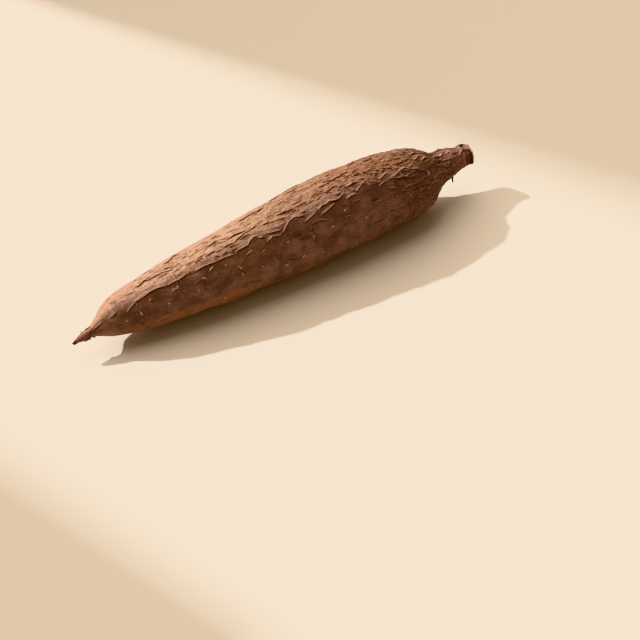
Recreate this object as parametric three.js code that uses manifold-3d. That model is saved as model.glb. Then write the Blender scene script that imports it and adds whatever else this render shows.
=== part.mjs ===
// A cassava root, lifted whole and trimmed off its stem, lying on its side. It grew as one piece.
// Units are millimetres and +Z is up. The root runs along X: its tail points to -X and its cut stalk to +X.
// The origin is on the surface that the root lies on, under the middle of its bounding box.

import * as THREE from "three";
import { mergeVertices } from "three/addons/utils/BufferGeometryUtils.js";
import Module from "manifold-3d";

// Driving dimensions.
const LENGTH = 320; // from the tail's point to the cut face of the stalk
const WIDEST = 28.3; // mean radius at the thickest place
const RINGS = 71; // rings of vertices from the tail to the rim of the stalk
const SIDES = 70; // vertices round each ring
const FLAT_DEPTH = 0.6; // how much of the belly is pressed flat where the root lies

// The outline, as [share of the length, share of the widest radius], from the tail to the stalk's rim.
const OUTLINE = [
  [0.0, 0.02], [0.005, 0.045], [0.025, 0.105], [0.042, 0.13], [0.06, 0.235], [0.082, 0.385],
  [0.12, 0.51], [0.206, 0.65], [0.33, 0.815], [0.51, 0.933], [0.65, 1.0], [0.75, 0.968],
  [0.82, 0.885], [0.857, 0.77], [0.882, 0.615], [0.905, 0.46], [0.945, 0.355], [0.976, 0.28], [0.99, 0.268],
  [1.0, 0.225],
];

// Height of the centre line above the surface, as [share of the length, share of the widest radius].
const HEIGHT = [
  [0.0, 0.53], [0.05, 0.64], [0.12, 0.735], [0.25, 0.82], [0.38, 0.862], [0.51, 0.933], [0.65, 1.0],
  [0.75, 0.972], [0.86, 0.945], [0.93, 0.95], [1.0, 0.98],
];

// Sideways bow of the centre line, as [share of the length, millimetres towards +Y].
const BOW = [
  [0.0, 1.6], [0.04, 1.6], [0.09, 2.7], [0.16, 1.7], [0.26, 0.8], [0.4, 1.2], [0.62, 0.8], [0.76, 0.5],
  [0.85, 0.2], [0.91, 1.1], [0.945, 1.3], [0.975, 1.6], [1.0, 0.6],
];

// A long low ridge along the root's front: where it runs, as [share of the length, degrees round], and
// how high it is, as [share of the length, millimetres].
const RIDGE_COURSE = [
  [0.1, 119], [0.35, 116], [0.6, 113], [0.8, 103], [0.9, 95],
];
const RIDGE_HEIGHT = [
  [0.08, 0], [0.17, 1.5], [0.6, 1.9], [0.82, 1.3], [0.9, 0],
];
const RIDGE_SPREAD = 16; // degrees

// Where the bark is rough, in shares of the length: it fades in behind the tail and out along the neck.
const BARK_STARTS = [0.05, 0.3];
const NECK = [0.88, 0.93];
const NECK_ROUGHNESS = 0.25;

// Where the bark is worn smooth underneath: shares of the length, and radians each side of straight down.
const BELLY = { start: 0.3, end: 0.78, fade: 0.08, halfAngle: 0.42 };

// Low swellings of the whole body: [height mm, waves along the length, waves round the girth, phase].
const SWELLINGS = [
  [0.42, 1.6, 1, 0.4],
  [0.4, 2.7, 2, 2.1],
  [0.3, 5.3, 1, 4.4],
  [0.26, 6.1, 3, 1.2],
  [0.2, 9.7, 2, 5.6],
];

// Bark furrows: lens-shaped splits along the root, in staggered rows, with low lips. Lengths in mm.
const FURROW = {
  pitch: 19,
  slots: 13,
  halfLength: 14,
  halfWidth: 2.9,
  depth: 1.25,
  lip: 0.3,
  slant: 0.09,
};

// Bark terraces: long wavy edges where one sheet of cork ends over the next.
// Each is [start share, end share, angle in degrees, wave height mm, step mm].
const TERRACES = [
  [0.11, 0.78, 112, 2.2, 0.75],
  [0.3, 0.86, 176, 2.8, 0.6],
  [0.16, 0.7, 232, 3.2, 0.7],
  [0.34, 0.84, 306, 2.6, 0.65],
  [0.2, 0.74, 12, 3.0, 0.7],
  [0.5, 0.88, 66, 2.0, 0.55],
];
const TERRACE = { run: 7, rise: 1.6, taper: 0.06, longWave: 9.5, shortWave: 5.3 };

// Stalk end: a collar of torn bark round a dished woody cut.
const COLLAR = { start: 0.966, full: 0.985, swell: 0.3, ripple: 0.3 };
const CUT = { dish: 1.6, rings: 3, roughness: 0.5 };
const TIP = 1.6; // how far the tail's point stands out past its first ring

// Broken feeder roots and knots: [share, angle in degrees, length, thickness, lean in degrees].
const THREADS = [
  [0.944, 226, 3.4, 1.1, -20],
  [0.034, 62, 1.3, 1.5, -20],
  [0.042, 218, 1.0, 2.2, 10],
  [0.035, 240, 0.8, 1.8, -10],
  [0.27, 318, 3.2, 0.9, -35],
  [0.58, 20, 2.6, 0.9, 30],
];
const THREAD = { sunk: 1.5, tip: 0.6, sides: 6 };

// Torn flaps round the collar: [angle in degrees, width, rise].
const FLAPS = [
  [50, 5.5, 2.9],
  [106, 4.5, 1.2],
  [196, 4.5, 1.1],
  [312, 5.0, 1.5],
];
const FLAP = { share: 0.995, thick: 0.9, sunk: 1.5, curl: 2.4, reach: 1.3 };

const BARK = new THREE.MeshStandardMaterial({ color: 0x8a5a3e, roughness: 0.82, metalness: 0 });

// A smooth curve through [place, value] points, read at one place, which never overshoots them.
function curveAt(points, place) {
  const last = points.length - 1;
  if (place <= points[0][0]) return points[0][1];
  if (place >= points[last][0]) return points[last][1];
  let i = 0;
  while (place > points[i + 1][0]) i++;
  const slope = (k) => (points[k + 1][1] - points[k][1]) / (points[k + 1][0] - points[k][0]);
  const tangent = (k) => {
    if (k === 0) return slope(0);
    if (k === last) return slope(last - 1);
    const [before, after] = [slope(k - 1), slope(k)];
    return before * after <= 0 ? 0 : (2 * before * after) / (before + after);
  };
  const span = points[i + 1][0] - points[i][0];
  const t = (place - points[i][0]) / span;
  const [t2, t3] = [t * t, t * t * t];
  return (
    points[i][1] * (2 * t3 - 3 * t2 + 1) +
    points[i + 1][1] * (3 * t2 - 2 * t3) +
    span * (tangent(i) * (t3 - 2 * t2 + t) + tangent(i + 1) * (t3 - t2))
  );
}

// A repeatable random number from 0 to 1 for one cell of a grid.
function chance(column, row, salt) {
  let h = Math.imul(column, 374761393) ^ Math.imul(row, 668265263) ^ Math.imul(salt, 974634777);
  h = Math.imul(h ^ (h >>> 13), 1274126177);
  return ((h ^ (h >>> 16)) >>> 0) / 4294967296;
}

const radians = THREE.MathUtils.degToRad;
const wrapAngle = (angle) => angle - 2 * Math.PI * Math.round(angle / (2 * Math.PI));
const smooth = (low, high, value) => THREE.MathUtils.smoothstep(value, low, high);
const radiusAt = (share) => WIDEST * curveAt(OUTLINE, share);

// How much the bark is worn smooth at a place, from 0 to 1: only under the belly, where the root lies.
function wornAt(share, angle) {
  const { start, end, fade, halfAngle } = BELLY;
  const along = smooth(start - fade, start, share) * (1 - smooth(end, end + fade, share));
  return along * (1 - smooth(halfAngle, 2 * halfAngle, Math.abs(wrapAngle(angle + Math.PI / 2))));
}

// How rough the bark is at a place: smooth at the thin tail, roughest at the shoulder, smooth on the stalk.
function roughnessAt(share, angle) {
  const neck = 1 - (1 - NECK_ROUGHNESS) * smooth(...NECK, share);
  return smooth(...BARK_STARTS, share) * neck * (1 - wornAt(share, angle));
}

// Height of the low swellings, which fade out at both thin ends and under the belly.
function swellingAt(share, angle) {
  const height = SWELLINGS.reduce(
    (sum, [high, along, round, phase]) =>
      sum + high * Math.sin(2 * Math.PI * along * share + phase) * Math.cos(round * angle + phase),
    0,
  );
  const ends = smooth(0.04, 0.2, share) * (1 - 0.6 * smooth(...NECK, share));
  return height * ends * (1 - wornAt(share, angle));
}

// Height of the long ridge at a place.
function ridgeAt(share, angle) {
  const off = wrapAngle(angle - radians(curveAt(RIDGE_COURSE, share))) / radians(RIDGE_SPREAD);
  return curveAt(RIDGE_HEIGHT, share) * Math.exp(-0.5 * off * off);
}

// Height of the furrows at a place against the bark's mean surface, with the low lips beside them.
function furrowAt(share, angle) {
  const along = share * LENGTH;
  const girth = radiusAt(share);
  const column = Math.floor(along / FURROW.pitch);
  let height = 0;
  for (let c = column - 1; c <= column + 1; c++) {
    for (let slot = 0; slot < FURROW.slots; slot++) {
      const centre = (c + 0.5 + 0.7 * (chance(c, slot, 1) - 0.5)) * FURROW.pitch;
      const stagger = (c & 1) / 2;
      const turn = ((slot + stagger + 0.6 * (chance(c, slot, 2) - 0.5)) * 2 * Math.PI) / FURROW.slots;
      const half = FURROW.halfLength * (0.6 + 0.6 * chance(c, slot, 3));
      const t = (along - centre) / half;
      if (Math.abs(t) >= 1) continue;
      const slant = FURROW.slant * (2 * chance(c, slot, 4) - 1);
      const across = wrapAngle(angle - turn) * girth - slant * (along - centre);
      const near = Math.abs(across) / (FURROW.halfWidth * (1 - t * t));
      const fade = 1 - t * t;
      if (near < 1) height = Math.min(height, -FURROW.depth * fade * (1 - near * near));
      else if (near < 2) height += FURROW.lip * fade * 2 * (2 - near) * (near - 1);
    }
  }
  return height;
}

// Height that the cork sheets add at a place: full at a sheet's edge, and sinking away behind it.
function terraceAt(share, angle) {
  const along = share * LENGTH;
  let height = 0;
  for (const [start, end, degrees, wave, step] of TERRACES) {
    const long = Math.sin(along / TERRACE.longWave + degrees);
    const short = Math.sin(along / TERRACE.shortWave + 2 * degrees);
    const behind = wave * (long + 0.6 * short) - wrapAngle(angle - radians(degrees)) * radiusAt(share);
    if (behind <= 0) continue;
    const begun = smooth(start, start + TERRACE.taper, share);
    const ended = smooth(end - TERRACE.taper, end, share);
    const sheet = Math.exp(-behind / TERRACE.run) * smooth(0, TERRACE.rise, behind);
    height += step * begun * (1 - ended) * sheet;
  }
  return height;
}

// Height that the rippled collar of torn bark adds at the very end of the stalk.
function collarAt(share, angle) {
  const ripple = Math.sin(5 * angle + 1.3) + 0.7 * Math.sin(9 * angle + 0.4);
  return smooth(COLLAR.start, COLLAR.full, share) * (COLLAR.swell + COLLAR.ripple * ripple);
}

// How far an end's surface is set towards the stalk inside its rim: the tail's end is a point, and the
// stalk's is a dished cut with a woody grain.
function endwiseAt(share, angle, inward) {
  if (inward === 1) return 0;
  if (share < 0.5) return -TIP * (1 - inward * inward);
  const grain = Math.sin(7 * angle + 9 * inward) * Math.sin(11 * inward + 2 * angle);
  return -CUT.dish * (1 - inward * inward) - CUT.roughness * grain * inward;
}

// Where one point of the root lies: a share of the length, an angle round it (0 at +Y, 90 degrees up)
// and a share of the radius there. Points of the cut face have a share of the radius below 1.
function pointAt(share, angle, inward) {
  const rough = roughnessAt(share, angle);
  const form = radiusAt(share) + ridgeAt(share, angle) + swellingAt(share, angle);
  const relief = rough * (furrowAt(share, angle) + terraceAt(share, angle)) + collarAt(share, angle);
  const radius = (form + relief) * inward;
  const height = WIDEST * curveAt(HEIGHT, share) - FLAT_DEPTH;
  return new THREE.Vector3(
    share * LENGTH + endwiseAt(share, angle, inward),
    curveAt(BOW, share) + radius * Math.cos(angle),
    Math.max(0, height + radius * Math.sin(angle)),
  );
}

// Shares of the length at which the rings lie, evenly spaced along the outline rather than along X.
function ringShares() {
  const fine = 2000;
  const run = [0];
  for (let i = 1; i <= fine; i++) {
    const rise = radiusAt(i / fine) - radiusAt((i - 1) / fine);
    run.push(run[i - 1] + Math.hypot(LENGTH / fine, rise));
  }
  const shares = [];
  for (let ring = 0, i = 0; ring < RINGS; ring++) {
    const wanted = (run[fine] * ring) / (RINGS - 1);
    while (i < fine && run[i] < wanted) i++;
    shares.push(i / fine);
  }
  return shares;
}

// Two functions: one makes a closed mesh into a solid, and the other makes a solid back into a mesh.
async function solids() {
  const wasm = await Module();
  wasm.setup();
  const toSolid = (geometry) => {
    const bare = geometry.clone();
    bare.deleteAttribute("normal");
    bare.deleteAttribute("uv");
    const merged = mergeVertices(bare, 1e-3);
    const corners = merged.index.array;
    const kept = [];
    for (let i = 0; i < corners.length; i += 3) {
      const [a, b, c] = corners.slice(i, i + 3);
      if (a !== b && b !== c && c !== a) kept.push(a, b, c);
    }
    const triVerts = new Uint32Array(kept);
    return new wasm.Manifold(
      new wasm.Mesh({ numProp: 3, vertProperties: merged.attributes.position.array, triVerts }),
    );
  };
  const toGeometry = (solid) => {
    const mesh = solid.getMesh();
    const geometry = new THREE.BufferGeometry();
    geometry.setAttribute("position", new THREE.BufferAttribute(mesh.vertProperties, 3));
    geometry.setIndex(new THREE.BufferAttribute(mesh.triVerts, 1));
    geometry.computeVertexNormals();
    return geometry;
  };
  return { toSolid, toGeometry };
}

// The body: its outline is turned on a lathe, then each vertex is moved to its place on the rough root.
function bodyGeometry() {
  const profile = [new THREE.Vector2(0, 0)];
  for (const share of ringShares()) profile.push(new THREE.Vector2(1, share));
  for (let ring = CUT.rings; ring >= 0; ring--) profile.push(new THREE.Vector2(ring / (CUT.rings + 1), 1));
  const geometry = new THREE.LatheGeometry(profile, SIDES);
  const position = geometry.attributes.position;
  for (let i = 0; i < position.count; i++) {
    const angle = Math.atan2(position.getX(i), position.getZ(i));
    const inward = Math.hypot(position.getX(i), position.getZ(i));
    const place = pointAt(position.getY(i), angle, inward);
    position.setXYZ(i, place.x, place.y, place.z);
  }
  return geometry;
}

// A broken feeder root or knot: a cone with few sides, sunk into the bark at a share and an angle.
// lean tips it towards the tail (negative) or the stalk (positive), in degrees.
function threadGeometry(share, degrees, length, thickness, lean) {
  const angle = radians(degrees);
  const whole = length + THREAD.sunk;
  const base = thickness / 2;
  const geometry = new THREE.CylinderGeometry(base * THREAD.tip, base, whole, THREAD.sides, 2);
  geometry.translate(0, whole / 2 - THREAD.sunk, 0);
  const out = new THREE.Vector3(Math.sin(radians(lean)), Math.cos(angle), Math.sin(angle)).normalize();
  const up = new THREE.Vector3(0, 1, 0);
  geometry.applyQuaternion(new THREE.Quaternion().setFromUnitVectors(up, out));
  return geometry.translate(...pointAt(share, angle, 1).toArray());
}

// A flap of bark torn loose at the collar: it stands up from the rim and curls back towards the tail.
function flapGeometry(degrees, width, rise) {
  const { share, thick, sunk, curl, reach } = FLAP;
  const side = new THREE.Shape();
  side.moveTo(reach, -sunk);
  side.quadraticCurveTo(reach + 0.3, rise * 0.8, -curl, rise);
  side.lineTo(-curl - 0.3, rise - thick);
  side.quadraticCurveTo(reach - thick, rise * 0.55, reach - 1.1 - thick, -sunk);
  side.closePath();
  const geometry = new THREE.ExtrudeGeometry(side, {
    depth: width,
    steps: 3,
    bevelEnabled: false,
    curveSegments: 5,
  });
  geometry.translate(0, 0, -width / 2);
  const angle = radians(degrees);
  const frame = new THREE.Matrix4().makeBasis(
    new THREE.Vector3(1, 0, 0),
    new THREE.Vector3(0, Math.cos(angle), Math.sin(angle)),
    new THREE.Vector3(0, -Math.sin(angle), Math.cos(angle)),
  );
  return geometry.applyMatrix4(frame).translate(...pointAt(share, angle, 1).toArray());
}

// The whole root as one solid, moved so that the origin is under the middle of its box.
async function rootGeometry() {
  const { toSolid, toGeometry } = await solids();
  let root = toSolid(bodyGeometry());
  for (const thread of THREADS) root = root.add(toSolid(threadGeometry(...thread)));
  for (const flap of FLAPS) root = root.add(toSolid(flapGeometry(...flap)));
  const geometry = toGeometry(root);
  geometry.computeBoundingBox();
  const middle = geometry.boundingBox.getCenter(new THREE.Vector3());
  return geometry.translate(-middle.x, -middle.y, -geometry.boundingBox.min.z);
}

const root = new THREE.Mesh(await rootGeometry(), BARK);
root.name = "cassava_root";

const cassava = new THREE.Group();
cassava.add(root);

export default cassava;
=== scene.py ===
"""A cassava root lying on its side: finely split corky bark, torn bark at the cut stalk, and a thin tail."""

import math

import bpy
import numpy as np
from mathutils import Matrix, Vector


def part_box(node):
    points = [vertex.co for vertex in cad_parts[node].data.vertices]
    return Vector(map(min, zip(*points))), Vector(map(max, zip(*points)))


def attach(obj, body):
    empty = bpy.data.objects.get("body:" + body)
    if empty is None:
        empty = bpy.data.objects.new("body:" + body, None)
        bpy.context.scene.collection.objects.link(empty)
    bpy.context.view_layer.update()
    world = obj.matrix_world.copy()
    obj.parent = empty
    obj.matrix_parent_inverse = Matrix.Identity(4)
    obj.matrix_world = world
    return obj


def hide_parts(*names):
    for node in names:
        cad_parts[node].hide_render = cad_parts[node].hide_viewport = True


MM = 0.001
TURN = 2 * math.pi

# The root's own form, in millimetres: the same named values as the solid's.
LENGTH = 320.0
WIDEST = 28.3
FLAT_DEPTH = 0.6
TIP = 1.6
OUTLINE = [
    (0.0, 0.02), (0.005, 0.045), (0.025, 0.105), (0.042, 0.13), (0.06, 0.235), (0.082, 0.385),
    (0.12, 0.51), (0.206, 0.65), (0.33, 0.815), (0.51, 0.933), (0.65, 1.0), (0.75, 0.968),
    (0.82, 0.885), (0.857, 0.77), (0.882, 0.615), (0.905, 0.46), (0.945, 0.355), (0.976, 0.28),
    (0.99, 0.268), (1.0, 0.225),
]
HEIGHT = [
    (0.0, 0.53), (0.05, 0.64), (0.12, 0.735), (0.25, 0.82), (0.38, 0.862), (0.51, 0.933), (0.65, 1.0),
    (0.75, 0.972), (0.86, 0.945), (0.93, 0.95), (1.0, 0.98),
]
BOW = [
    (0.0, 1.6), (0.04, 1.6), (0.09, 2.7), (0.16, 1.7), (0.26, 0.8), (0.4, 1.2), (0.62, 0.8), (0.76, 0.5),
    (0.85, 0.2), (0.91, 1.1), (0.945, 1.3), (0.975, 1.6), (1.0, 0.6),
]
SIDE_SHIFT = -0.88
RIDGE_COURSE = [(0.1, 119), (0.35, 116), (0.6, 113), (0.8, 103), (0.9, 95)]
RIDGE_HEIGHT = [(0.08, 0.0), (0.17, 1.5), (0.6, 1.9), (0.82, 1.3), (0.9, 0.0)]
RIDGE_SPREAD = 16.0
BELLY_START, BELLY_END, BELLY_FADE, BELLY_HALF = 0.3, 0.78, 0.08, 0.42
SWELLINGS = [
    (0.42, 1.6, 1, 0.4), (0.4, 2.7, 2, 2.1), (0.3, 5.3, 1, 4.4), (0.26, 6.1, 3, 1.2), (0.2, 9.7, 2, 5.6),
]
TERRACES = [
    (0.11, 0.78, 112, 2.2, 0.75), (0.3, 0.86, 176, 2.8, 0.6), (0.16, 0.7, 232, 3.2, 0.7),
    (0.34, 0.84, 306, 2.6, 0.65), (0.2, 0.74, 12, 3.0, 0.7), (0.5, 0.88, 66, 2.0, 0.55),
]

# The fine grid that the bark is worked out on, and the faces left once flat places are thinned out.
ALONG = 860
AROUND = 440
BODY_FACES = 192000
SEED = 29

# How many of each small thing are seeded over the bark.
SHEETS_ROUND = 11
EDGES_TRIED = 80
SPLIT_ROWS = 300
FRONT_SPLITS = 110
PITS = 1900
HAIRLINES = 560
SCALES = 1150
FLAKES = 620
HAIR_ROOTS = 48

# The bark's colour fields, with painted light and shade in some of them, that small pieces take over from
# it.
TONES = ("front", "dust_and_painted_sunlight", "mauve_and_painted_half_shade", "deep")

# Edges of bark sheets that show in the photograph: how far each stands out, then (mm along, degrees round).
SHEET_EDGES = [
    (0.15, [(9, 62), (11, 64), (14, 70)]),
    (0.15, [(14, 122), (17, 123), (20, 119)]),
    (0.5, [(265, 106), (268, 103), (272, 98)]),
    (0.5, [(271, 108), (275, 105), (280, 104)]),
    (0.45, [(275, 112), (278, 110), (281, 110)]),
    (0.5, [(285, 101), (289, 97), (294, 94)]),
    (0.6, [(309, 126), (311, 116), (313, 108), (315, 98)]),
    (0.35, [(25, 127), (28, 124), (30, 121)]),
    (0.4, [(36, 135), (38, 130), (41, 125), (44, 121), (49, 122)]),
    (0.55, [(42, 120), (49, 119), (54, 116), (59, 116), (64, 120), (70, 120), (74, 120), (79, 118),
            (82, 119)]),
    (0.6, [(86, 121), (89, 120), (93, 120), (97, 121), (102, 122), (107, 122), (111, 123), (114, 124)]),
    (0.6, [(116, 122), (118, 121), (125, 121), (128, 117), (131, 114), (135, 115)]),
    (0.4, [(134, 118), (136, 120), (139, 121)]),
    (0.5, [(141, 118), (144, 120), (147, 121), (151, 123)]),
    (0.6, [(144, 126), (148, 128), (152, 126), (155, 121), (158, 117), (163, 115), (166, 117), (170, 118)]),
    (0.5, [(168, 127), (172, 125), (176, 123), (179, 120)]),
    (0.6, [(181, 120), (184, 117), (187, 118), (190, 116), (194, 119), (197, 119), (201, 116)]),
    (0.35, [(181, 128), (184, 127), (188, 126)]),
    (0.4, [(183, 127), (188, 125), (193, 122)]),
    (0.5, [(202, 123), (206, 122), (211, 123)]),
    (0.4, [(211, 120), (213, 118), (216, 115)]),
    (0.4, [(138, 129), (141, 127), (143, 125)]),
    (0.35, [(121, 133), (124, 131), (126, 129)]),
    (0.4, [(95, 130), (97, 128), (98, 125)]),
    (0.35, [(67, 135), (69, 134), (72, 133)]),
    (0.3, [(172, 134), (175, 133), (179, 134), (184, 138)]),
    (0.4, [(229, 124), (233, 122), (236, 121)]),
    (0.45, [(231, 116), (235, 114), (240, 110)]),
    (0.35, [(259, 118), (263, 120), (266, 122)]),
    (0.35, [(253, 125), (257, 123)]),
    (0.45, [(290, 125), (292, 119), (295, 118), (298, 121)]),
    (0.55, [(203, 111), (209, 109), (212, 108), (216, 109)]),
    (0.45, [(202, 124), (206, 122), (210, 123)]),
    (0.4, [(234, 131), (238, 134), (242, 135)]),
    (0.35, [(231, 161), (238, 164), (245, 163)]),
    (0.3, [(205, 130), (211, 131)]),
    (0.4, [(209, 81), (213, 83), (216, 88)]),
]

# Splits that show in the photograph, as (mm along, degrees) at both ends and half the width in mm.
SPLITS = [
    (63, 96, 71, 98, 0.45), (73, 89, 81, 94, 0.4), (29.5, 87, 34, 88, 0.5), (102, 80, 107, 80, 0.45),
    (99, 93, 111, 92, 0.5), (118, 83, 130, 88, 0.45), (130, 78, 135, 79, 0.5), (141, 104, 148, 106, 0.45),
    (145, 107, 150, 107, 0.35), (153, 102, 167, 103, 0.75), (155, 79, 173, 80, 0.55),
    (172, 72, 180, 73, 0.65), (180, 75, 187, 77, 0.7), (187, 77, 197, 75, 0.65), (204, 70, 215, 68, 0.85),
    (191, 90, 206, 90, 0.65), (203, 89, 207, 89, 0.8), (206, 88, 217, 87, 0.5), (216, 92, 222, 91, 0.5),
    (202, 110, 209, 109, 0.5), (232, 90, 241, 87, 0.45), (249, 82, 258, 80, 0.45),
    (251, 94, 259, 93, 0.45), (168, 95, 176, 94, 0.4), (167, 102, 177, 103, 0.5),
    (181, 99, 190, 93, 0.35), (186, 91, 193, 97, 0.4), (185, 100, 193, 102, 0.35),
    (190, 103, 201, 102, 0.5), (200, 104, 207, 108, 0.45), (208, 98, 216, 93, 0.4),
    (216, 96, 223, 102, 0.6), (223, 101, 232, 99, 0.45), (222, 79, 232, 77, 0.4),
    (226, 82, 236, 83, 0.45), (196, 80, 201, 80, 0.4), (150, 108, 159, 111, 0.35),
    (138, 97, 145, 96, 0.35), (110, 108, 118, 108, 0.35), (122, 108, 131, 107, 0.4),
    (96, 107, 105, 106, 0.35), (88, 108, 95, 107, 0.3), (82, 102, 90, 104, 0.3), (40, 96, 48, 97, 0.25),
    (140, 88, 148, 87, 0.3), (146, 96, 153, 94, 0.35), (237, 97, 246, 99, 0.5), (244, 90, 251, 93, 0.45),
    (238, 104, 247, 107, 0.5), (248, 101, 256, 104, 0.5), (258, 88, 266, 86, 0.45),
    (259, 97, 267, 99, 0.5), (188, 66, 196, 67, 0.5), (217, 62, 227, 61, 0.5), (221, 70, 230, 69, 0.45),
    (232, 64, 240, 63, 0.45), (240, 69, 247, 67, 0.45), (247, 61, 251, 59, 0.4), (252, 81, 257, 82, 0.5),
    (253, 94, 260, 96, 0.45), (261, 78, 265, 77, 0.4), (249, 105, 257, 105, 0.45),
    (229, 109, 234, 108, 0.4), (250, 117, 257, 121, 0.4), (258, 119, 266, 122, 0.45),
    (273, 108, 280, 106, 0.4), (219, 139, 226, 140, 0.45), (243, 76, 247, 77, 0.35),
]

# Ring wrinkles: thin raised welts across the root, as (mm along, first degrees, last degrees, height mm).
WRINKLES = [
    (43.5, 120, 198, 0.35), (72.0, 104, 160, 0.35), (115.3, 120, 164, 0.45), (146.5, 138, 154, 0.3),
    (170.8, 128, 160, 0.35), (249.5, 112, 158, 0.4), (84.0, 146, 158, 0.3), (203.0, 150, 190, 0.3),
    (60.0, 215, 262, 0.35), (98.0, 20, 62, 0.35), (133.0, 236, 300, 0.4), (158.0, -30, 24, 0.4),
    (188.0, 262, 318, 0.4), (214.0, 10, 58, 0.4), (231.0, 190, 240, 0.4), (262.0, -20, 40, 0.4),
    (268.0, 200, 262, 0.35), (92.0, 296, 350, 0.35), (122.0, 70, 96, 0.25), (239.0, 280, 330, 0.4),
]

# Slivers of pale inner bark that show, as (mm along, degrees round, half length, half width, turn in
# degrees).
PALE_SPOTS = [
    (44, 152, 2.0, 0.4, 78), (115, 146, 1.9, 0.36, 62), (115.5, 158, 1.6, 0.28, 84),
    (142, 125.5, 2.5, 0.3, -22), (125, 130.5, 2.4, 0.3, -14), (96, 128, 2.4, 0.34, -24),
    (152, 142, 0.6, 0.5, 0), (147.5, 175, 1.6, 0.4, 0), (161, 174, 1.2, 0.32, -20),
    (89.5, 137, 1.5, 0.24, 40), (171, 151, 1.5, 0.24, 80), (97, 188, 0.8, 0.5, 10),
    (93, 183, 0.6, 0.4, 0), (101, 192, 0.6, 0.4, 30), (63, 156, 0.7, 0.4, 0), (84, 154, 1.3, 0.28, 80),
    (250, 137, 1.9, 0.3, 80), (272, 131, 2.2, 0.6, 84), (72, 131, 1.2, 0.3, 74),
    (52, 131, 1.3, 0.26, -30), (134, 138, 1.1, 0.22, -30), (106, 133, 1.4, 0.22, -10),
    (186, 150, 1.0, 0.24, -30), (198, 136, 1.4, 0.26, -20), (130, 160, 0.8, 0.22, 20),
    (212, 158, 1.0, 0.26, -40), (34, 158, 0.8, 0.3, 30), (176, 182, 0.9, 0.24, 60),
    (120, 240, 1.6, 0.6, 0), (190, 300, 1.8, 0.5, 10), (210, 20, 1.6, 0.5, -10), (70, 330, 1.4, 0.5, 20),
    (238, 250, 1.8, 0.6, -15), (294, 94, 2.0, 0.9, -20), (300, 92, 1.2, 0.9, 0), (303, 86, 0.9, 0.5, 20),
    (297, 132, 0.9, 0.4, 10), (296, 250, 1.8, 0.7, 0), (306, 320, 1.6, 0.7, 15), (288, 18, 1.8, 0.7, -10),
]

# Broken feeder roots and knots, where the solid has them: (share, degrees, length, thickness, lean in
# degrees). Lengths in mm.
THREADS = [
    (0.944, 226, 4.4, 1.5, -20), (0.034, 62, 0.2, 1.6, -20), (0.042, 218, 0.7, 2.2, 10),
    (0.035, 240, 0.8, 1.8, -10), (0.27, 318, 3.2, 0.9, -35), (0.58, 20, 2.6, 0.9, 30),
]

# Flaps of bark peeled back from the stalk's end: (degrees, width mm, rise mm, length mm, how pale the rim
# is, partly as a painted highlight, and the share of the length from which the flap is dark, partly as
# painted shade).
FLAPS = [
    (50, 6.4, 2.3, 7.3, 0.8, 0.8), (76, 4.6, 2.0, 4.6, 0.9, 1.2), (98, 4.2, 1.6, 6.4, 0.9, 1.2),
    (118, 4.0, 1.1, 3.4, 0.7, 0.25), (140, 4.6, 0.8, 4.4, 0.4, 0.12), (162, 4.4, 0.8, 3.6, 0.2, 0.1),
    (184, 4.6, 1.1, 4.6, 0.1, 0.1), (208, 5.0, 1.6, 3.4, 0.0, 0.05), (236, 4.6, 0.9, 3.4, 0.2, 0.6),
    (266, 5.2, 1.2, 4.6, 0.3, 0.7), (298, 4.6, 0.9, 3.6, 0.3, 0.5), (326, 5.2, 1.5, 5.4, 0.4, 0.8),
    (356, 5.0, 1.1, 4.0, 0.5, 0.7), (22, 5.0, 1.6, 4.8, 0.6, 0.8),
]

# Dark knots on the thin tail: (mm along, degrees, size mm, height mm).
TAIL_KNOTS = [
    (7.2, 50, 0.6, 1.1), (4.4, 58, 0.5, 0.5), (7.6, 208, 1.0, 0.9), (9.0, 188, 1.2, 0.8),
    (10.6, 168, 1.0, 0.5), (10.0, 212, 1.3, 0.5), (8.5, 300, 1.2, 0.7), (17.5, 148, 0.7, 0.3),
    (16.0, 345, 1.0, 0.4), (3.5, 150, 0.7, 0.3),
]

# Swellings and hollows of the neck: (mm along, degrees, half length mm, half width mm, rise mm).
NECK_LUMPS = [
    (291.5, 44, 3.4, 6.0, -0.9), (301.0, 50, 5.0, 5.0, 0.9), (306.5, 62, 2.6, 3.2, 0.4),
    (303.0, 112, 3.0, 2.6, 0.5), (297.0, 88, 2.4, 2.2, 0.6), (301.5, 136, 4.5, 3.6, -0.4),
    (295.0, 168, 3.4, 3.0, 0.4), (298.0, 280, 3.6, 5.0, 0.6), (304.0, 330, 3.0, 4.0, -0.5),
    (293.0, 350, 3.4, 4.6, 0.6), (300.0, 230, 4.0, 5.0, -0.5),
]
TORN = 313.6  # where the bark's torn edge runs round the stalk, in mm along
# Where flakes lie, in mm along, and past which place scales and flakes stay as likely as at it.
FLAKES_FIRST, FLAKES_LAST = 25, 303
FLAKES_MIDDLE, FLAKES_SPREAD = 267, 18
SCALES_STEADY, FLAKES_STEADY = 284.0, 285.0

LONG_FLAP = 7.0  # flaps longer than this, in mm, curl back
CUT_SUNK = 1.6  # how far the skin's end lies inside the stalk's end, in mm
CUT_SIDES = 128  # points round the cut face

# The sun's direction, and the straight edges of the window that it comes through: where the edge's shadow
# lies on the floor in mm, how far off the edge is in mm, and which way the wall goes from it.
SUN = (-0.50, 0.635, 0.592)
WINDOW_EDGES = [
    ((24, 350), (231, -62), (1000, 2600), (0.9, 0.45)),
    ((-235, -45), (-190, -178), (1700, 1500), (-0.9, -0.35)),
]

# The camera, in millimetres and degrees in the root's frame.
CAMERA_AIM = (-18.67, -75.49, 20.0)
CAMERA_DISTANCE = 983.4
CAMERA_AZIMUTH = -33.916
CAMERA_ELEVATION = 45.0
CAMERA_LENS = 85.0

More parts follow.
